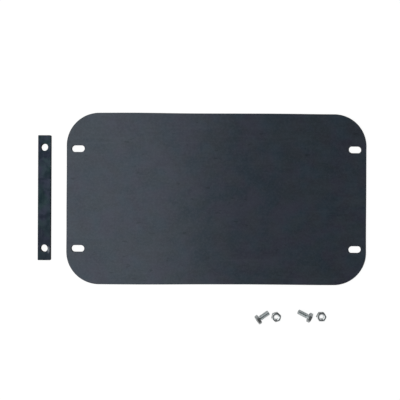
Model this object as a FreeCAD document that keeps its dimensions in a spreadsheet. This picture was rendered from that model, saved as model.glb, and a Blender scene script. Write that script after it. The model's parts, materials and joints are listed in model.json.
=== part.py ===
import FreeCAD, Part
import math
import os
import Sketcher

"""Bolt-on pad kit for a flat machine base plate, laid out on a flat surface with every piece loose.

The pad is a flexible sheet with large rounded corners and two slots in each short end. The clamp bar lies
beside its left end, and its two holes are spaced to meet the slots of one end. Two hexagon bolts and their two
nuts lie below the pad's right half. Each piece is a body of its own.

Frame: millimetres, +Z up, origin at the middle of the pad's underside, X along the pad's length.
"""

V = FreeCAD.Vector
Z_AXIS = V(0, 0, 1)
Y_AXIS = V(0, 1, 0)

# Alias of the spreadsheet cell, its value in millimetres or degrees, and what it measures.
DIMENSIONS = (
    ("pad_length", 600, "pad, along X"),
    ("pad_width", 342, "pad, along Y"),
    ("pad_thick", 5, "pad, sheet thickness"),
    ("pad_corner", 65, "pad, corner radius in plan"),
    ("pad_edge", 0.5, "pad, rounding of the cut edges"),
    ("slot_spacing_x", 555, "pad, slot centre to slot centre along X"),
    ("slot_spacing_y", 200, "pad, slot centre to slot centre along Y"),
    ("slot_length", 26, "pad slot, end to end"),
    ("slot_width", 13.5, "pad slot, across"),
    ("bar_length", 250, "bar, along Y"),
    ("bar_width", 25.4, "bar, along X"),
    ("bar_thick", 6.35, "bar, thickness"),
    ("bar_corner", 1.5, "bar, corner radius in plan"),
    ("bar_edge", 0.8, "bar, rounding of its top and bottom edges"),
    ("bar_hole", 14.5, "bar, hole diameter"),
    ("bar_hole_spacing", 202, "bar, hole centre to hole centre along Y"),
    ("bar_break", 0.3, "bar, chamfer round each hole"),
    ("bar_centre_x", -344.7, "bar, middle, along X"),
    ("bar_centre_y", 1.3, "bar, middle, along Y"),
    ("thread_major", 10, "bolt, thread's outer diameter"),
    ("thread_pitch", 1.5, "bolt and nut, advance per turn"),
    ("bolt_root", 8.16, "bolt, diameter at the bottom of the thread"),
    ("bolt_root_flat", 0.25, "bolt, width of the thread's root"),
    ("bolt_length", 22, "bolt, from the bearing face to the tip"),
    ("bolt_neck", 8, "bolt, relief diameter under the head"),
    ("bolt_neck_length", 2.2, "bolt, length of the relief"),
    ("bolt_tip_chamfer", 0.9, "bolt, chamfer at the tip"),
    ("bolt_head_height", 6.4, "bolt, head height"),
    ("hex_across", 17, "bolt head and nut, across the flats"),
    ("hex_chamfer_angle", 20, "bolt head and nut, slope of the corner chamfer"),
    ("washer_face", 16.2, "bolt head and nut, diameter of the flat left by the chamfer"),
    ("washer_height", 0.4, "bolt head, height of the round bearing face"),
    ("nut_height", 8, "nut, height"),
    ("nut_bore", 8.376, "nut, diameter at the crest of the thread"),
    ("nut_root_flat", 0.1875, "nut, width of the thread's root"),
    ("nut_sink", 12, "nut, countersink diameter"),
    ("nut_sink_depth", 1.05, "nut, countersink depth"),
)

# Where each bolt lies: name, X and Y of the middle of its tip, and the direction its tip points in plan.
BOLTS = (
    ("hex_bolt_left", 105.0, -226.6, 32.0),
    ("hex_bolt_right", 164.2, -224.3, 153.5),
)
# Where each nut lies: name, X and Y of its axis, and how far it is turned.
NUTS = (
    ("hex_nut_left", 120.6, -235.6, 18.0),
    ("hex_nut_right", 211.0, -234.5, 1.5),
)

CHASER_REACH = 0.1  # how far the thread cutter's profile stands out of the metal it cuts
CUTTER_REACH = 0.5  # how far the chamfer cutter's profile stands out of the hexagon's corners
THREAD_START = 1.0  # middle of the first groove above the bolt's bearing face, inside the relief
THREAD_RUN_OUT = 1.25  # how far the middle of the last groove goes past the end of the metal

doc = FreeCAD.newDocument("PadKit")
dims = doc.addObject("Spreadsheet::Sheet", "Dims")


def fill_sheet():
    """One row for each driving dimension: its meaning, then its value under an alias."""
    for row, (alias, value, meaning) in enumerate(DIMENSIONS, start=1):
        dims.set(f"A{row}", meaning)
        dims.set(f"B{row}", str(value))
        dims.setAlias(f"B{row}", alias)
    doc.recompute()


def value(expression):
    """What an expression of the sheet's cells comes to, as a plain number."""
    return float(dims.evalExpression(expression))


def new_body(name):
    body = doc.addObject("PartDesign::Body", name)
    body.Label = name
    return body


def origin_plane(body, role):
    return next(f for f in body.Origin.OriginFeatures if f.Role == role)


def new_sketch(body, name, role):
    """An empty sketch on one of the body's own origin planes."""
    sketch = body.newObject("Sketcher::SketchObject", name)
    sketch.AttachmentSupport = [(origin_plane(body, role), "")]
    sketch.MapMode = "FlatFace"
    return sketch


def bind(sketch, name, expression, *references):
    """Adds a constraint whose size follows an expression of the sheet's cells."""
    kind, *geometry = references
    index = sketch.addConstraint(Sketcher.Constraint(kind, *geometry, value(expression)))
    sketch.renameConstraint(index, name)
    sketch.setExpression(f"Constraints.{name}", expression)


def outline(body, name, role, corners):
    """A closed sketch of straight sides through corners, each a pair of expressions."""
    sketch = new_sketch(body, name, role)
    points = [V(value(x), value(y), 0) for x, y in corners]
    following = points[1:] + points[:1]
    for start, end in zip(points, following):
        sketch.addGeometry(Part.LineSegment(start, end))
    last = len(points) - 1
    for side, (x, y) in enumerate(corners):
        sketch.addConstraint(Sketcher.Constraint("Coincident", last if side == 0 else side - 1, 2, side, 1))
        bind(sketch, f"x{side}", x, "DistanceX", -1, 1, side, 1)
        bind(sketch, f"y{side}", y, "DistanceY", -1, 1, side, 1)
    doc.recompute()
    return sketch


def rectangle(body, name, length, width):
    """A rectangle on the XY plane about the origin, from two expressions."""
    corners = [(f"{i} * {length} / 2", f"{j} * {width} / 2") for i, j in ((-1, -1), (1, -1), (1, 1), (-1, 1))]
    return outline(body, name, "XY_Plane", corners)


def slot_sketch(body):
    """One slot along X, centred on the pad's slot nearest -X and -Y."""
    sketch = new_sketch(body, "SlotSketch", "XY_Plane")
    radius = value("Dims.slot_width / 2")
    straight = value("(Dims.slot_length - Dims.slot_width) / 2")
    middle = V(value("-Dims.slot_spacing_x / 2"), value("-Dims.slot_spacing_y / 2"), 0)
    left, right, up = middle - V(straight, 0, 0), middle + V(straight, 0, 0), V(0, radius, 0)
    quarter = math.pi / 2
    sketch.addGeometry(Part.LineSegment(left - up, right - up))
    sketch.addGeometry(Part.ArcOfCircle(Part.Circle(right, Z_AXIS, radius), -quarter, quarter))
    sketch.addGeometry(Part.LineSegment(right + up, left + up))
    sketch.addGeometry(Part.ArcOfCircle(Part.Circle(left, Z_AXIS, radius), quarter, 3 * quarter))
    for joint in ((0, 2, 1, 1), (1, 2, 2, 1), (2, 2, 3, 1), (3, 2, 0, 1)):
        sketch.addConstraint(Sketcher.Constraint("Tangent", *joint))
    sketch.addConstraint(Sketcher.Constraint("Horizontal", 0))
    bind(sketch, "radius", "Dims.slot_width / 2", "Radius", 1)
    bind(sketch, "straight", "Dims.slot_length - Dims.slot_width", "DistanceX", 3, 3, 1, 3)
    end = "-(Dims.slot_spacing_x + Dims.slot_length - Dims.slot_width) / 2"
    bind(sketch, "middle_x", end, "DistanceX", -1, 1, 3, 3)
    bind(sketch, "middle_y", "-Dims.slot_spacing_y / 2", "DistanceY", -1, 1, 3, 3)
    doc.recompute()
    return sketch


def pad_up(body, name, sketch, height):
    """Raises a sketch on the XY plane to a height given as an expression."""
    feature = body.newObject("PartDesign::Pad", name)
    feature.Profile = sketch
    feature.setExpression("Length", height)
    doc.recompute()
    return feature


def cut_through(body, name, sketch):
    """Cuts a sketch on the XY plane upwards through all of the body."""
    feature = body.newObject("PartDesign::Pocket", name)
    feature.Profile = sketch
    feature.Type = "ThroughAll"
    feature.Reversed = True
    doc.recompute()
    return feature


def turn(body, name, kind, sketch):
    """A Revolution or Groove of an XZ sketch, a full turn about the body's Z axis."""
    feature = body.newObject(f"PartDesign::{kind}", name)
    feature.Profile = sketch
    feature.ReferenceAxis = (sketch, ["V_Axis"])
    feature.Angle = 360
    doc.recompute()
    return feature


def dress(body, name, kind, base, edges, size):
    """A Fillet or Chamfer of the edges of base that the test picks, sized by an expression."""
    chosen = [f"Edge{i}" for i, edge in enumerate(base.Shape.Edges, start=1) if edges(edge)]
    feature = body.newObject(f"PartDesign::{kind}", name)
    feature.Base = (base, chosen)
    feature.setExpression("Radius" if kind == "Fillet" else "Size", size)
    doc.recompute()
    return feature


def repeat(body, name, feature, sketch, directions):
    """Repeats a cut once more along each (axis of its sketch, spacing) given."""
    pattern = body.newObject("PartDesign::LinearPattern", name)
    pattern.Originals = [feature]
    for suffix, (axis, spacing) in zip(("", "2"), directions):
        setattr(pattern, f"Direction{suffix}", (sketch, [axis]))
        setattr(pattern, f"Occurrences{suffix}", 2)
        pattern.setExpression(f"Length{suffix}", spacing)
    body.Tip = pattern
    doc.recompute()
    return pattern


def cut_thread(body, sketch, height):
    """Sweeps the groove's profile up the body's Z axis on a right-hand helix and cuts it out."""
    feature = body.newObject("PartDesign::SubtractiveHelix", "Thread")
    feature.Profile = sketch
    feature.ReferenceAxis = (sketch, ["V_Axis"])
    feature.Mode = "pitch-height-angle"
    feature.setExpression("Pitch", "Dims.thread_pitch")
    feature.setExpression("Height", height)
    feature.Angle = 0
    feature.LeftHanded = False
    doc.recompute()
    return feature


def runs_along(direction):
    """A test for straight edges parallel to a direction."""

    def test(edge):
        straight = isinstance(edge.Curve, (Part.Line, Part.LineSegment))
        return straight and edge.tangentAt(edge.FirstParameter).cross(direction).Length < 1e-6

    return test


def lies_at(*heights):
    """A test for edges that lie wholly at one of the heights."""

    def test(edge):
        box = edge.BoundBox
        return any(abs(box.ZMin - z) < 1e-6 and abs(box.ZMax - z) < 1e-6 for z in heights)

    return test


def is_circle_at(*heights):
    """A test for round edges at one of the heights."""
    level = lies_at(*heights)
    return lambda edge: level(edge) and isinstance(edge.Curve, Part.Circle)


def hexagon(body, name):
    """The fasteners' hexagon on the XY plane, with one flat facing +X."""
    flat = "Dims.hex_across / 2"
    side = "Dims.hex_across / sqrt(3)"
    corners = [
        (flat, f"-{side} / 2"),
        (flat, f"{side} / 2"),
        ("0", side),
        (f"-{flat}", f"{side} / 2"),
        (f"-{flat}", f"-{side} / 2"),
        ("0", f"-{side}"),
    ]
    return outline(body, name, "XY_Plane", corners)


def chamfer_hexagon(body, name, level, slope):
    """Turns the hexagon's corners off to a cone that meets the end face at level in a circle.

    slope is + when the metal lies above the end face, and - when it lies below.
    """
    inner = "Dims.washer_face / 2"
    outer = f"(Dims.hex_across / sqrt(3) + {CUTTER_REACH})"
    rise = f"({outer} - {inner}) * tan(Dims.hex_chamfer_angle * 1deg)"
    corners = [(inner, level), (outer, level), (outer, f"{level} {slope} {rise}")]
    sketch = outline(body, f"{name}Sketch", "XZ_Plane", corners)
    return turn(body, name, "Groove", sketch)


def make_pad():
    """A flat sheet with rounded corners, softened cut edges and four slots."""
    body = new_body("rubber_pad")
    sketch = rectangle(body, "Outline", "Dims.pad_length", "Dims.pad_width")
    blank = pad_up(body, "Blank", sketch, "Dims.pad_thick")
    corners = dress(body, "Corners", "Fillet", blank, runs_along(Z_AXIS), "Dims.pad_corner")
    faces = lies_at(0, value("Dims.pad_thick"))
    dress(body, "SoftEdges", "Fillet", corners, faces, "Dims.pad_edge")
    sketch = slot_sketch(body)
    slot = cut_through(body, "Slot", sketch)
    spacings = (("H_Axis", "Dims.slot_spacing_x"), ("V_Axis", "Dims.slot_spacing_y"))
    repeat(body, "Slots", slot, sketch, spacings)
    return body


def make_bar():
    """A length of flat bar, rounded at its corners and along its edges, with a hole near each end."""
    body = new_body("clamp_bar")
    sketch = rectangle(body, "Outline", "Dims.bar_width", "Dims.bar_length")
    stock = pad_up(body, "Stock", sketch, "Dims.bar_thick")
    corners = dress(body, "Corners", "Fillet", stock, runs_along(Z_AXIS), "Dims.bar_corner")
    dress(body, "SoftEdges", "Fillet", corners, lies_at(0, value("Dims.bar_thick")), "Dims.bar_edge")
    sketch = new_sketch(body, "HoleSketch", "XY_Plane")
    middle = V(0, value("-Dims.bar_hole_spacing / 2"), 0)
    sketch.addGeometry(Part.Circle(middle, Z_AXIS, value("Dims.bar_hole / 2")))
    sketch.addConstraint(Sketcher.Constraint("PointOnObject", 0, 3, -2))
    bind(sketch, "radius", "Dims.bar_hole / 2", "Radius", 0)
    bind(sketch, "middle_y", "-Dims.bar_hole_spacing / 2", "DistanceY", -1, 1, 0, 3)
    hole = cut_through(body, "Hole", sketch)
    holes = repeat(body, "Holes", hole, sketch, [("V_Axis", "Dims.bar_hole_spacing")])
    rims = is_circle_at(0, value("Dims.bar_thick"))
    dress(body, "BrokenRims", "Chamfer", holes, rims, "Dims.bar_break")
    body.setExpression("Placement.Base.x", "Dims.bar_centre_x")
    body.setExpression("Placement.Base.y", "Dims.bar_centre_y")
    return body


def bolt_thread(body):
    """The bolt's groove: a narrow root, with 60 degrees between its flanks."""
    root, reach = "Dims.bolt_root / 2", f"(Dims.thread_major / 2 + {CHASER_REACH})"
    half_root = "Dims.bolt_root_flat / 2"
    half_mouth = f"({half_root} + ({reach} - {root}) * tan(30deg))"
    corners = [
        (root, f"{THREAD_START} - {half_root}"),
        (reach, f"{THREAD_START} - {half_mouth}"),
        (reach, f"{THREAD_START} + {half_mouth}"),
        (root, f"{THREAD_START} + {half_root}"),
    ]
    sketch = outline(body, "ThreadSketch", "XZ_Plane", corners)
    return cut_thread(body, sketch, f"Dims.bolt_length + {THREAD_RUN_OUT} - {THREAD_START}")


def nut_thread(body):
    """The nut's groove, cut outwards from the bore."""
    root, reach = "Dims.thread_major / 2", f"(Dims.nut_bore / 2 - {CHASER_REACH})"
    half_root = "Dims.nut_root_flat / 2"
    half_mouth = f"({half_root} + ({root} - {reach}) * tan(30deg))"
    start = f"-{THREAD_RUN_OUT}"
    corners = [
        (reach, f"{start} - {half_mouth}"),
        (root, f"{start} - {half_root}"),
        (root, f"{start} + {half_root}"),
        (reach, f"{start} + {half_mouth}"),
    ]
    sketch = outline(body, "ThreadSketch", "XZ_Plane", corners)
    return cut_thread(body, sketch, f"Dims.nut_height + 2 * {THREAD_RUN_OUT}")


def make_bolt(name):
    """A hexagon bolt threaded up to a short relief. Its tip points along +Z and its bearing face is at 0."""
    body = new_body(name)
    sketch = hexagon(body, "HeadSketch")
    head = body.newObject("PartDesign::Pad", "Head")
    head.Profile = sketch
    head.setExpression("Length", "Dims.bolt_head_height - Dims.washer_height")
    head.Reversed = True
    sketch.setExpression("AttachmentOffset.Base.z", "-Dims.washer_height")
    doc.recompute()
    chamfer_hexagon(body, "HeadChamfer", "-Dims.bolt_head_height", "+")

    neck, major = "Dims.bolt_neck / 2", "Dims.thread_major / 2"
    tip = "Dims.bolt_tip_chamfer"
    turned = [
        ("0", "-Dims.washer_height"),
        ("Dims.washer_face / 2", "-Dims.washer_height"),
        ("Dims.washer_face / 2", "0"),
        (f"{neck} + Dims.washer_height", "0"),
        (neck, "Dims.washer_height"),
        (neck, "Dims.bolt_neck_length"),
        (major, f"Dims.bolt_neck_length + {major} - {neck}"),
        (major, f"Dims.bolt_length - {tip}"),
        (f"{major} - {tip}", "Dims.bolt_length"),
        ("0", "Dims.bolt_length"),
    ]
    turn(body, "Shank", "Revolution", outline(body, "ShankSketch", "XZ_Plane", turned))
    bolt_thread(body)
    return body


def make_nut(name):
    """A hexagon nut, chamfered and countersunk on both faces. Its axis is Z and it stands on 0."""
    body = new_body(name)
    pad_up(body, "Blank", hexagon(body, "HexSketch"), "Dims.nut_height")
    chamfer_hexagon(body, "LowerChamfer", "0", "+")
    chamfer_hexagon(body, "UpperChamfer", "Dims.nut_height", "-")
    bored = [
        ("0", "0"),
        ("Dims.nut_sink / 2", "0"),
        ("Dims.nut_bore / 2", "Dims.nut_sink_depth"),
        ("Dims.nut_bore / 2", "Dims.nut_height - Dims.nut_sink_depth"),
        ("Dims.nut_sink / 2", "Dims.nut_height"),
        ("0", "Dims.nut_height"),
    ]
    turn(body, "Bore", "Groove", outline(body, "BoreSketch", "XZ_Plane", bored))
    nut_thread(body)
    return body


def lay_bolt(body, tip_x, tip_y, heading):
    """Lays a bolt on the surface, where it rests on one flat of its head and on the thread near its tip."""
    drop = value("(Dims.hex_across - Dims.thread_major) / 2")
    span = value("Dims.bolt_length - Dims.bolt_tip_chamfer + Dims.washer_height")
    tilt = math.degrees(math.atan2(drop, span))
    turned = FreeCAD.Rotation(Z_AXIS, heading) * FreeCAD.Rotation(Y_AXIS, 90 + tilt)
    tip = turned.multVec(V(0, 0, value("Dims.bolt_length")))
    head_edge = turned.multVec(V(value("Dims.hex_across / 2"), 0, value("-Dims.washer_height")))
    body.Placement = FreeCAD.Placement(V(tip_x - tip.x, tip_y - tip.y, -head_edge.z), turned)


def lay_nut(body, x, y, heading):
    """Lays a nut flat on the surface. At heading 0 one of its corners points along +X."""
    body.Placement = FreeCAD.Placement(V(x, y, 0), FreeCAD.Rotation(Z_AXIS, heading + 30))


def check():
    """Stops before anything is written if an object failed or a body isn't one closed solid."""
    doc.recompute()
    for item in doc.Objects:
        if "Invalid" in item.State or "Error" in item.State:
            raise SystemExit(f"{item.Name} failed: {item.State}")
    for body in bodies:
        shape = body.Shape
        if shape.isNull() or not shape.isValid() or len(shape.Solids) != 1:
            raise SystemExit(f"{body.Label} isn't one valid solid")
        print(body.Label, "volume", round(shape.Volume, 2), "faces", len(shape.Faces))


def write():
    os.makedirs("parts", exist_ok=True)
    for body in bodies:
        body.Shape.exportStep(f"parts/{body.Label}.step")


fill_sheet()
bodies = [make_pad(), make_bar()]
for name, *place in BOLTS:
    bodies.append(make_bolt(name))
    lay_bolt(bodies[-1], *place)
for name, *place in NUTS:
    bodies.append(make_nut(name))
    lay_nut(bodies[-1], *place)
check()
write()
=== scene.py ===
import json
import math
from itertools import pairwise

import bpy
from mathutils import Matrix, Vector, noise
from mathutils.geometry import delaunay_2d_cdt


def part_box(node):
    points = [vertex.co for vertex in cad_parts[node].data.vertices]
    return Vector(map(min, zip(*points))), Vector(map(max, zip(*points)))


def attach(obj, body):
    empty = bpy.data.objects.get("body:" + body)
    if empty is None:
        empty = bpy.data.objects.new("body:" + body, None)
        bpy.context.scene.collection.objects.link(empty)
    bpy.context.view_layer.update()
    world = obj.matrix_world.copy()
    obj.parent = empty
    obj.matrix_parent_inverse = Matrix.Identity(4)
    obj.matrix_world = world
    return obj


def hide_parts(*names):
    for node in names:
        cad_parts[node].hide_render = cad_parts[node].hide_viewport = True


# A bolt-on rubber pad kit laid out on a pale floor: the pad, its clamp bar, two bolts and two nuts.
#
# The pad is a mesh of its own, because a flexible sheet never lies quite flat. The steel pieces are the
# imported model's, with procedural finishes. Everything is in metres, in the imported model's frame: the pad's
# underside is at z = 0 with its middle at the origin, and +Z is up.
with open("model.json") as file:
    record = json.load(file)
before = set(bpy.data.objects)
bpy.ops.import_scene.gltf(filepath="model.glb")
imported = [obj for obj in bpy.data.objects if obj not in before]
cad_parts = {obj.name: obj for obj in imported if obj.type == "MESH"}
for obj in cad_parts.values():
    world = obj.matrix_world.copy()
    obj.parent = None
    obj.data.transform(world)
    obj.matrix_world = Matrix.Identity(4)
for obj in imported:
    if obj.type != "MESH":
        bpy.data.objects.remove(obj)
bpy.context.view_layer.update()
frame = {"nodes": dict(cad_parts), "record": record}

MM = 0.001

# The pad. Its length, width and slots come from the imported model.
PAD_CORNER = 65 * MM  # corner radius in plan
PAD_EDGE = 0.25 * MM  # rounding of the cut edges
PAD_EDGE_STEPS = 4
PAD_EDGE_BAND = 1.4 * MM  # flat strip beside the rounding, where the face fades into the cut's painted shade
PAD_WALL_STEPS = 3
PAD_GRID = 5 * MM  # spacing of the points across the face
PAD_OUTLINE_STEP = 3 * MM
SLOT_OUTLINE_STEP = 1 * MM
CUT_DRIFT = 0.35 * MM  # how far the knife wandered from the outline
CUT_DRIFT_PER_M = 11  # waves of that drift in a metre of edge
CUT_DRIFT_ROW = 3.7  # the row of the noise that the drift is read along
# Where the outline bows out, or in where it is negative: X, Y, distance and reach, in millimetres.
PAD_BOWS = (
    (-170, 171, 0.8, 150),
    (130, 171, 0.5, 80),
    (270, 171, -0.3, 60),
    (-190, -171, 0.6, 130),
    (60, -171, -0.6, 110),
    (230, -171, 0.4, 60),
    (300, 0, -0.4, 150),
)
# Where the sheet stands off the floor: X, Y, height and reach along X and Y, in millimetres.
PAD_SWELLS = (
    (-185, 171, 1.6, 75, 60),
    (40, 171, 1.1, 80, 50),
    (230, 150, 0.5, 70, 60),
    (-299, -30, 0.6, 60, 90),
    (120, -171, 0.5, 110, 50),
    (-60, -20, 0.5, 160, 80),
)
# The sheet's face is divided into triangles out to its convex hull, and points nearer than this are joined.
DIVIDE_WHOLE_HULL = 0
DIVIDE_JOIN = 1e-7

PAINTED_SHADE_TO = -95 * MM  # painted shade: the bar is drawn darker from Y = 0 down to this Y, and stays dark below it
PAINT_EDGE = 1.2 * MM  # how far in from the bar's edges the paint is rubbed
WASHER_RING = (7.5 * MM, 11 * MM)  # where the rubbing round each hole of the bar starts to fade, and ends
# A scuff beside the bar's lower hole: its middle from the hole's, and its reach.
SCUFF_OFFSET = (9 * MM, -3 * MM)
SCUFF_REACH = (3.5 * MM, 9 * MM)

# The camera looks straight down. Its place is measured from the middle of the pad's underside.
CAMERA_X = -33.2 * MM
CAMERA_Y = -1.95 * MM
CAMERA_HEIGHT = 850 * MM
CAMERA_TURN = 0.26  # degrees, about Z
CAMERA_LENS = 38.0  # focal length in millimetres, for the sensor's width on the next line
SENSOR_WIDTH = 36.0
NEAREST_SEEN = 50 * MM

FLOOR_SIZE = 14.0
# The camera sees the floor mostly by a glow of its own, so that it is white and its shadows are faint. The
# pieces get the light that a pale floor without that glow would give them.
FLOOR_GLOW = 0.952
FLOOR_SEEN = 0.1
FLOOR_GIVEN = 0.6

# A low window on the left, aimed at the pad's middle.
WINDOW_PLACE = (-2.6, -0.1, 1.05)
WINDOW_SIZE = (2.6, 1.5)
WINDOW_POWER = 22
# A broad dim panel over the left half. Its near edge is what fades across the middle of the pad.
PANEL_PLACE = (-1.28, 0, 1.25)
PANEL_SIZE = (2.4, 3.0)
PANEL_POWER = 20
# The room's light goes from wall to ceiling between these heights of a direction, as sines of elevation.
WALL_TOP = 0.55
CEILING = 0.75
WALL_LIGHT = 0.62
CEILING_LIGHT = 0.09
ROOM_COLOUR = (0.96, 0.98, 1.0, 1.0)


class Nodes:
    """A node tree whose nodes are added one call at a time."""

    def __init__(self, tree):
        self.tree = tree
        self.tree.nodes.clear()

    def add(self, kind, settings=None, **sockets):
        """Adds a ShaderNode of that kind. Underscores in the sockets' names stand for spaces."""
        node = self.tree.nodes.new("ShaderNode" + kind)
        for name, setting in (settings or {}).items():
            setattr(node, name, setting)
        for name, value in sockets.items():
            self.put(node.inputs[name.replace("_", " ")], value)
        return node

    def put(self, socket, value):
        """Gives a socket a value, or links it to another node's output."""
        if isinstance(value, bpy.types.NodeSocket):
            self.tree.links.new(value, socket)
        else:
            socket.default_value = value

    def math(self, operation, first, second=0.0):
        node = self.add("Math", {"operation": operation})
        self.put(node.inputs[0], first)
        self.put(node.inputs[1], second)
        return node.outputs["Value"]

    def parts(self, vector):
        """The X, Y and Z of a vector."""
        return list(self.add("SeparateXYZ", Vector=vector).outputs)


class Shader(Nodes):
    """A material made of nodes."""

    def __init__(self, name):
        self.material = bpy.data.materials.new(name)
        self.material.use_nodes = True
        super().__init__(self.material.node_tree)
        self.place = self.add("TexCoord").outputs["Object"]

    def stretched(self, sx, sy, sz):
        """The piece's own coordinates, scaled along each axis."""
        return self.add("Mapping", Vector=self.place, Scale=(sx, sy, sz)).outputs["Vector"]

    def noise(self, scale, detail=2.0, roughness=0.5, vector=None, distortion=0.0):
        node = self.add(
            "TexNoise",
            Vector=vector or self.place,
            Scale=scale,
            Detail=detail,
            Roughness=roughness,
            Distortion=distortion,
        )
        return node.outputs["Fac"]

    def fit(self, value, low, high, to_low=0.0, to_high=1.0):
        """Maps low..high to to_low..to_high smoothly, and holds it there outside."""
        node = self.add(
            "MapRange",
            {"interpolation_type": "SMOOTHSTEP"},
            Value=value,
            From_Min=low,
            From_Max=high,
            To_Min=to_low,
            To_Max=to_high,
        )
        return node.outputs["Result"]

    def off(self, value, centre):
        """How far a value is from a number, either way."""
        return self.math("ABSOLUTE", self.math("SUBTRACT", value, centre))

    def hypotenuse(self, first, second):
        """The length of a slope across two sides."""
        squares = (self.math("MULTIPLY", side, side) for side in (first, second))
        return self.math("SQRT", self.math("ADD", *squares))

    def mix(self, factor, first, second):
        """A colour between two colours."""
        node = self.add("Mix", {"data_type": "RGBA"})
        self.put(node.inputs["Factor"], factor)
        ends = (socket for socket in node.inputs if socket.type == "RGBA")
        for socket, colour in zip(ends, (first, second)):
            self.put(socket, colour if isinstance(colour, bpy.types.NodeSocket) else (*colour, 1.0))
        return next(socket for socket in node.outputs if socket.type == "RGBA")

    def cover(self, under, mask, amount, over):
        """A colour with another laid over it where the mask is 1, as strongly as the amount says."""
        return self.mix(self.math("MULTIPLY", mask, amount), under, over)

    def bump(self, height, distance, strength, normal=None):
        """A bumpy normal, on top of another one where that is given."""
        node = self.add("Bump", Height=height, Distance=distance, Strength=strength)
        if normal is not None:
            self.put(node.inputs["Normal"], normal)
        return node.outputs["Normal"]

    def finish(self, **sockets):
        """Closes the material with a Principled shader."""
        principled = self.add("BsdfPrincipled", **sockets)
        self.add("OutputMaterial", Surface=principled.outputs["BSDF"])
        return self.material


def moulded_rubber():
    """Satin blue-black sheet: clouded, blotched, streaked along its length, speckled and smudged.

    The cut edges are duller than the faces. They, and a strip of the face beside them, are darkened as painted
    shade.
    """
    shader = Shader("moulded_rubber")
    cloud = shader.noise(20, detail=5, roughness=0.6, distortion=0.4)
    tint = shader.noise(22, detail=4, roughness=0.55)
    cast = shader.noise(30, detail=3, vector=shader.stretched(0.8, 1, 9))
    streak = shader.noise(1, detail=5, roughness=0.6, vector=shader.stretched(5, 110, 5))
    blotch = shader.noise(1, detail=3, roughness=0.6, vector=shader.stretched(46, 66, 60))
    speckle = shader.noise(210, detail=4, roughness=0.8)
    smudge = shader.fit(shader.noise(1, detail=2, vector=shader.stretched(55, 120, 90)), 0.67, 0.76)
    dust = shader.fit(shader.noise(260, detail=5, roughness=0.75), 0.62, 0.74)
    grain = shader.noise(900, detail=3, roughness=0.6)
    cut = shader.add("Attribute", {"attribute_name": "cut"}).outputs["Fac"]

    cool = shader.mix(shader.fit(cloud, 0.32, 0.68), (0.0173, 0.0287, 0.0409), (0.0268, 0.0429, 0.0592))
    warm = shader.mix(shader.fit(cloud, 0.32, 0.68), (0.0252, 0.0260, 0.0401), (0.0363, 0.0373, 0.0573))
    colour = shader.mix(shader.fit(tint, 0.38, 0.62), cool, warm)
    colour = shader.cover(colour, shader.fit(cast, 0.4, 0.62), 0.5, (0.0282, 0.0356, 0.0378))
    colour = shader.cover(colour, shader.fit(blotch, 0.34, 0.5, 1, 0), 0.12, (0.007, 0.0106, 0.015))
    colour = shader.cover(colour, shader.fit(blotch, 0.5, 0.66), 0.14, (0.0582, 0.0723, 0.0918))
    colour = shader.cover(colour, shader.fit(speckle, 0.42, 0.62), 0.42, (0.0511, 0.0631, 0.0794))
    colour = shader.cover(colour, shader.fit(streak, 0.5, 0.75), 0.22, (0.0582, 0.0706, 0.0846))
    colour = shader.cover(colour, dust, 0.16, (0.1588, 0.1712, 0.187))
    colour = shader.cover(colour, smudge, 0.7, (0.0106, 0.0141, 0.0194))
    # Painted shade: the cut walls and the strip of face beside them are drawn darker.
    colour = shader.cover(colour, cut, 0.75, (0.0124, 0.0159, 0.0194))

    roughness = shader.fit(streak, 0.3, 0.75, 0.32, 0.35)
    roughness = shader.math("ADD", roughness, shader.math("MULTIPLY", cut, 0.35))
    normal = shader.bump(grain, 0.05 * MM, 0.3)
    normal = shader.bump(streak, 0.05 * MM, 0.3, normal)
    return shader.finish(
        Base_Color=colour,
        Roughness=roughness,
        Normal=normal,
        Specular_IOR_Level=0.7,
        Specular_Tint=(0.8, 0.88, 1.0, 1.0),
    )


def bar_wear(shader, across, along, fleck):
    """Where the bar's paint is rubbed, at its edges and round its holes, and where it is scuffed."""
    low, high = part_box("clamp_bar")
    middle, half = (low + high) / 2, (high - low) / 2
    holes = bar_holes()
    edge = shader.math(
        "MAXIMUM",
        shader.fit(shader.off(across, middle.x), half.x - PAINT_EDGE, half.x),
        shader.fit(shader.off(along, middle.y), half.y - PAINT_EDGE, half.y),
    )
    rubbed = shader.math("MULTIPLY", edge, shader.fit(fleck, 0.48, 0.62))
    for x, y in holes:
        away = shader.hypotenuse(shader.off(across, x), shader.off(along, y))
        ring = shader.math("MULTIPLY", shader.fit(away, *WASHER_RING, 1, 0), shader.fit(fleck, 0.44, 0.6))
        rubbed = shader.math("MAXIMUM", rubbed, shader.math("MULTIPLY", ring, 0.35))

    x, y = holes[0]
    reach = shader.hypotenuse(
        shader.math("DIVIDE", shader.off(across, x + SCUFF_OFFSET[0]), SCUFF_REACH[0]),
        shader.math("DIVIDE", shader.off(along, y + SCUFF_OFFSET[1]), SCUFF_REACH[1]),
    )
    patch = shader.fit(reach, 0.2, 1.0, 1, 0)
    scuffed = shader.math("MULTIPLY", patch, shader.fit(fleck, 0.3, 0.62, 0.35, 1))
    return rubbed, scuffed


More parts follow.
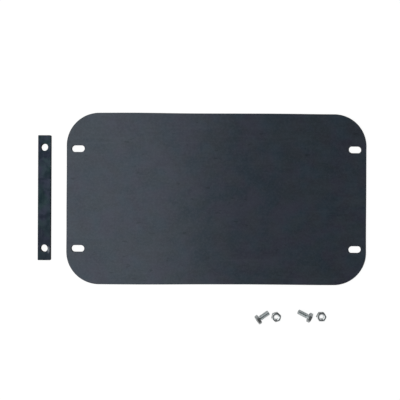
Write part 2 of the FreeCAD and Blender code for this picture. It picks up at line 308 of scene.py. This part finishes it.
def worn_paint():
    """Satin blue-black paint on flat bar: mottled on its upper face, with drag marks along it.

    It is rubbed at its edges and round its holes. Its sides and the walls of its holes are painted near black
    as shade.
    """
    shader = Shader("worn_paint")
    across, along, _ = shader.parts(shader.place)
    top_not_side_shaded = shader.fit(shader.parts(shader.add("NewGeometry").outputs["Normal"])[2], 0.4, 0.9)
    cloud = shader.noise(60, detail=5, roughness=0.65, distortion=0.5)
    shift = shader.noise(24, detail=2, vector=shader.stretched(1, 1, 40))
    drag = shader.noise(1, detail=4, roughness=0.6, vector=shader.stretched(900, 35, 900))
    peel = shader.noise(420, detail=2)
    fleck = shader.noise(700, detail=5, roughness=0.7)
    rubbed, scuffed = bar_wear(shader, across, along, fleck)

    green = shader.mix(shader.fit(cloud, 0.35, 0.65), (0.0077, 0.0208, 0.0249), (0.0299, 0.0513, 0.0567))
    violet = shader.mix(shader.fit(cloud, 0.35, 0.65), (0.0132, 0.0167, 0.0309), (0.0377, 0.0427, 0.0685))
    colour = shader.mix(shader.fit(shift, 0.42, 0.6), green, violet)
    # Painted shade: the bar is drawn darker towards its lower end.
    colour = shader.mix(shader.fit(along, 0.0, PAINTED_SHADE_TO, 0, 0.55), colour, (0.0154, 0.0163, 0.0284))
    colour = shader.cover(colour, shader.fit(drag, 0.56, 0.72), 0.3, (0.0726, 0.0839, 0.0907))
    colour = shader.cover(colour, rubbed, 0.5, (0.1134, 0.1247, 0.1361))
    colour = shader.mix(scuffed, colour, (0.2495, 0.2722, 0.2948))
    # Painted shade: faces that do not face up, such as the sides and the holes' walls, are painted near black.
    colour = shader.mix(top_not_side_shaded, (0.008, 0.0103, 0.0113), colour)
    return shader.finish(
        Base_Color=colour,
        Roughness=shader.fit(fleck, 0.3, 0.7, 0.46, 0.56),
        Normal=shader.bump(peel, 0.06 * MM, 0.5),
        Specular_IOR_Level=0.16,
        Specular_Tint=(0.6, 0.85, 1.0, 1.0),
    )


def bright_zinc():
    """Zinc-plated steel: bright, slightly clouded, with fine handling marks."""
    shader = Shader("bright_zinc")
    cloud = shader.noise(180, detail=3)
    marks = shader.noise(1, detail=4, roughness=0.7, vector=shader.stretched(900, 900, 5000))
    return shader.finish(
        Base_Color=shader.mix(shader.fit(cloud, 0.3, 0.7), (0.72, 0.76, 0.76), (0.82, 0.85, 0.85)),
        Metallic=1.0,
        Roughness=shader.fit(marks, 0.3, 0.7, 0.12, 0.22),
        Normal=shader.bump(marks, 0.01 * MM, 0.4),
    )


def pale_floor():
    """White to the camera, and plain pale to everything else."""
    shader = Shader("pale_floor")
    seen = shader.add("LightPath").outputs["Is Camera Ray"]
    return shader.finish(
        Base_Color=shader.mix(seen, (FLOOR_GIVEN,) * 3, (FLOOR_SEEN,) * 3),
        Roughness=0.9,
        Specular_IOR_Level=0.1,
        Emission_Color=(1.0, 1.0, 1.0, 1.0),
        Emission_Strength=shader.math("MULTIPLY", seen, FLOOR_GLOW),
    )


def rounded_rectangle(centre, half, radius, step):
    """Points round a rectangle with round corners, anticlockwise, each with its outward direction.

    A slot is one whose radius is half its width.
    """
    loop = []
    sides = ((1, 1), (-1, 1), (-1, -1), (1, -1))
    turns = round(radius * math.pi / 2 / step)
    for corner, (side_x, side_y) in enumerate(sides):
        pivot = centre + Vector((side_x * (half.x - radius), side_y * (half.y - radius)))
        for i in range(turns + 1):
            angle = (corner + i / turns) * math.pi / 2
            outward = Vector((math.cos(angle), math.sin(angle)))
            loop.append((pivot + radius * outward, outward))
        run = 2 * (half.x if corner % 2 == 0 else half.y) - 2 * radius
        pieces = round(run / step)
        along = Vector((-outward.y, outward.x))
        start = loop[-1][0]
        loop.extend((start + along * run * i / pieces, outward) for i in range(1, pieces))
        if run < step / 2:
            loop.pop()  # the next corner starts where this one ends
    return loop


def depth_inside(point, centre, half, radius):
    """How far a point is inside a rectangle with round corners. It is negative outside."""
    past_x = abs(point.x - centre.x) - (half.x - radius)
    past_y = abs(point.y - centre.y) - (half.y - radius)
    return radius - math.hypot(max(past_x, 0), max(past_y, 0)) - min(max(past_x, past_y), 0)


def swell(x, y):
    """How far the sheet stands off the floor."""
    height = 0
    for at_x, at_y, rise, reach_x, reach_y in PAD_SWELLS:
        away = ((x - at_x * MM) / (reach_x * MM)) ** 2 + ((y - at_y * MM) / (reach_y * MM)) ** 2
        height += rise * MM * math.exp(-away)
    return height


def bow(point):
    """How far the sheet's outline bows out near a point."""
    shift = 0
    for x, y, distance, reach in PAD_BOWS:
        away = (Vector((x, y)) * MM - point).length / (reach * MM)
        shift += distance * MM * math.exp(-away * away)
    return shift


def hand_cut(loop):
    """A loop whose line bows, and wanders a little, as a hand-guided cut does."""
    length = 0
    moved = []
    for i, (point, outward) in enumerate(loop):
        length += (point - loop[i - 1][0]).length if i else 0
        drift = CUT_DRIFT * noise.noise(Vector((length * CUT_DRIFT_PER_M, CUT_DRIFT_ROW, 0)))
        moved.append((point + outward * (drift + bow(point)), outward))
    return moved


def edge_profile(thickness):
    """(inset, height) from the top face round the cut edge to the underside."""
    upper = []
    for i in range(PAD_EDGE_STEPS + 1):
        angle = i / PAD_EDGE_STEPS * math.pi / 2
        upper.append((PAD_EDGE * (1 - math.sin(angle)), thickness - PAD_EDGE * (1 - math.cos(angle))))
    wall = thickness - 2 * PAD_EDGE
    middle = [(0, PAD_EDGE + wall * (1 - i / PAD_WALL_STEPS)) for i in range(1, PAD_WALL_STEPS)]
    lower = [(inset, thickness - height) for inset, height in reversed(upper)]
    band = PAD_EDGE + PAD_EDGE_BAND
    return [(band, thickness), *upper, *middle, *lower, (band, 0)]


def mount(name):
    """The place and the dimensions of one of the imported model's mounts."""
    found = next(row for row in frame["record"]["mounts"] if row["name"] == name)
    return found["pos_m"], found["dims"]


def pad_outline(low, high):
    """Centre, half size and corner radius of the pad."""
    centre = Vector(((low.x + high.x) / 2, (low.y + high.y) / 2))
    half = Vector(((high.x - low.x) / 2, (high.y - low.y) / 2))
    return centre, half, PAD_CORNER


def slot_outlines():
    """Centre, half size and end radius of each slot."""
    middle, dims = mount("pad_slots")
    radius = dims["hole_r_mm"] * MM
    half = Vector((dims["slot_length_mm"] / 2 * MM, radius))
    for side_x in (-1, 1):
        for side_y in (-1, 1):
            x = middle[0] + side_x * dims["spacing_x_mm"] / 2 * MM
            y = middle[1] + side_y * dims["spacing_y_mm"] / 2 * MM
            yield Vector((x, y)), half, radius


def bar_holes():
    """The middle of each hole in the bar, the one at -Y first."""
    middle, dims = mount("bar_holes")
    half_spacing = dims["spacing_y_mm"] / 2 * MM
    return [(middle[0], middle[1] + side * half_spacing) for side in (-1, 1)]


def cut_loops(outline, slots):
    """The loops that the sheet is cut along, each point with the direction that leads out of the rubber."""
    loops = [hand_cut(rounded_rectangle(*outline, PAD_OUTLINE_STEP))]
    for slot in slots:
        inner = rounded_rectangle(*slot, SLOT_OUTLINE_STEP)
        loops.append([(point, -outward) for point, outward in reversed(inner)])
    return loops


def loop_edges(loops):
    """The pairs of neighbours round every loop, with the loops' points numbered in one run."""
    edges = []
    start = 0
    for loop in loops:
        edges.extend((start + i, start + (i + 1) % len(loop)) for i in range(len(loop)))
        start += len(loop)
    return edges


def face_grid(outline, slots, clear):
    """A grid of points across the sheet's face that keeps clear of every cut."""
    centre, half, _ = outline
    columns, rows = (round(2 * size / PAD_GRID) for size in half)
    for i in range(columns + 1):
        for j in range(rows + 1):
            point = centre + Vector(((2 * i / columns - 1) * half.x, (2 * j / rows - 1) * half.y))
            on_rubber = all(depth_inside(point, *slot) < -clear for slot in slots)
            if on_rubber and depth_inside(point, *outline) > clear:
                yield point


def sheet_face(loops, edges, inset, grid):
    """The sheet's face in plan, as points and triangles. The loops' inset points come first."""
    rim = [point - outward * inset for loop in loops for point, outward in loop]
    points, _, triangles, *_ = delaunay_2d_cdt([*rim, *grid], edges, [], DIVIDE_WHOLE_HULL, DIVIDE_JOIN)
    loop_of = [number for number, loop in enumerate(loops) for _ in loop]

    def on_sheet(triangle):
        """A triangle whose corners are all on one loop lies outside the sheet or in a slot."""
        return max(triangle) >= len(rim) or len({loop_of[i] for i in triangle}) > 1

    return points, [tuple(triangle) for triangle in triangles if on_sheet(triangle)]


def make_pad():
    """The sheet: two faces of small triangles, joined round the outline and the slots by a rounded cut."""
    low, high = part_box("rubber_pad")
    outline = pad_outline(low, high)
    slots = list(slot_outlines())
    loops = cut_loops(outline, slots)
    edges = loop_edges(loops)
    (band, top_height), *round_cut, (_, bottom_height) = edge_profile(high.z - low.z)
    points, triangles = sheet_face(loops, edges, band, face_grid(outline, slots, band + PAD_GRID / 2))
    vertices = []
    cut = []

    def place(point, height, is_cut):
        """Adds a vertex, and returns its number."""
        vertices.append((point.x, point.y, low.z + height + swell(point.x, point.y)))
        cut.append(is_cut)
        return len(vertices) - 1

    top = [place(point, top_height, 0.0) for point in points]
    bottom = [place(point, bottom_height, 0.0) for point in points]
    rings = [top]
    for inset, height in round_cut:
        inset_points = (point - outward * inset for loop in loops for point, outward in loop)
        rings.append([place(point, height, 1.0) for point in inset_points])
    rings.append(bottom)

    faces = [*triangles, *(tuple(bottom[i] for i in reversed(triangle)) for triangle in triangles)]
    for upper, lower in pairwise(rings):
        faces += [(upper[end], upper[start], lower[start], lower[end]) for start, end in edges]

    mesh = bpy.data.meshes.new("pad_sheet")
    mesh.from_pydata(vertices, [], faces)
    mesh.polygons.foreach_set("use_smooth", [True] * len(mesh.polygons))
    attribute = mesh.attributes.new("cut", "FLOAT", "POINT")
    attribute.data.foreach_set("value", cut)
    mesh.validate()
    mesh.materials.append(moulded_rubber())
    pad = bpy.data.objects.new("pad_sheet", mesh)
    bpy.context.scene.collection.objects.link(pad)
    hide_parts("rubber_pad")
    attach(pad, "pad")


def dress(node, material):
    """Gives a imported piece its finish."""
    piece = frame["nodes"][node]
    piece.data.materials.clear()
    piece.data.materials.append(material)


def make_floor():
    mesh = bpy.data.meshes.new("floor")
    side = FLOOR_SIZE / 2
    corners = [(-side, -side, 0), (side, -side, 0), (side, side, 0), (-side, side, 0)]
    mesh.from_pydata(corners, [], [(0, 1, 2, 3)])
    mesh.materials.append(pale_floor())
    floor = bpy.data.objects.new("floor", mesh)
    bpy.context.scene.collection.objects.link(floor)


def make_camera():
    data = bpy.data.cameras.new("camera")
    data.sensor_width = SENSOR_WIDTH
    data.lens = CAMERA_LENS
    data.clip_start = NEAREST_SEEN
    camera = bpy.data.objects.new("camera", data)
    camera.location = (CAMERA_X, CAMERA_Y, CAMERA_HEIGHT)
    camera.rotation_euler = (0, 0, math.radians(CAMERA_TURN))
    bpy.context.scene.collection.objects.link(camera)
    bpy.context.scene.camera = camera


def softbox(name, place, aim, size, power):
    """An area light that faces the point it is aimed at."""
    data = bpy.data.lights.new(name, "AREA")
    data.shape = "RECTANGLE"
    data.size, data.size_y = size
    data.energy = power
    light = bpy.data.objects.new(name, data)
    light.location = place
    light.rotation_euler = (Vector(aim) - Vector(place)).to_track_quat("-Z", "Y").to_euler()
    bpy.context.scene.collection.objects.link(light)


def make_world():
    """A white room whose ceiling is dark, so that bright metal has both light and dark to show.

    The camera sees it as plain and pale, like the floor.
    """
    world = bpy.data.worlds.new("room")
    world.use_nodes = True
    room = Nodes(world.node_tree)
    height = room.parts(room.add("TexCoord").outputs["Generated"])[2]
    walls = room.add(
        "MapRange",
        Value=height,
        From_Min=WALL_TOP,
        From_Max=CEILING,
        To_Min=WALL_LIGHT,
        To_Max=CEILING_LIGHT,
    )
    seen = room.add("LightPath").outputs["Is Camera Ray"]
    strength = room.math("MAXIMUM", walls.outputs["Result"], seen)
    background = room.add("Background", Color=ROOM_COLOUR, Strength=strength)
    room.add("OutputWorld", Surface=background.outputs["Background"])
    bpy.context.scene.world = world


make_camera()
make_world()
softbox("window", WINDOW_PLACE, (0, 0, 0), WINDOW_SIZE, WINDOW_POWER)
softbox("panel", PANEL_PLACE, (PANEL_PLACE[0], PANEL_PLACE[1], 0), PANEL_SIZE, PANEL_POWER)
make_floor()
make_pad()
dress("clamp_bar", worn_paint())
zinc = bright_zinc()
for fastener in ("hex_bolt_left", "hex_bolt_right", "hex_nut_left", "hex_nut_right"):
    dress(fastener, zinc)

bpy.context.scene.view_settings.view_transform = "Standard"
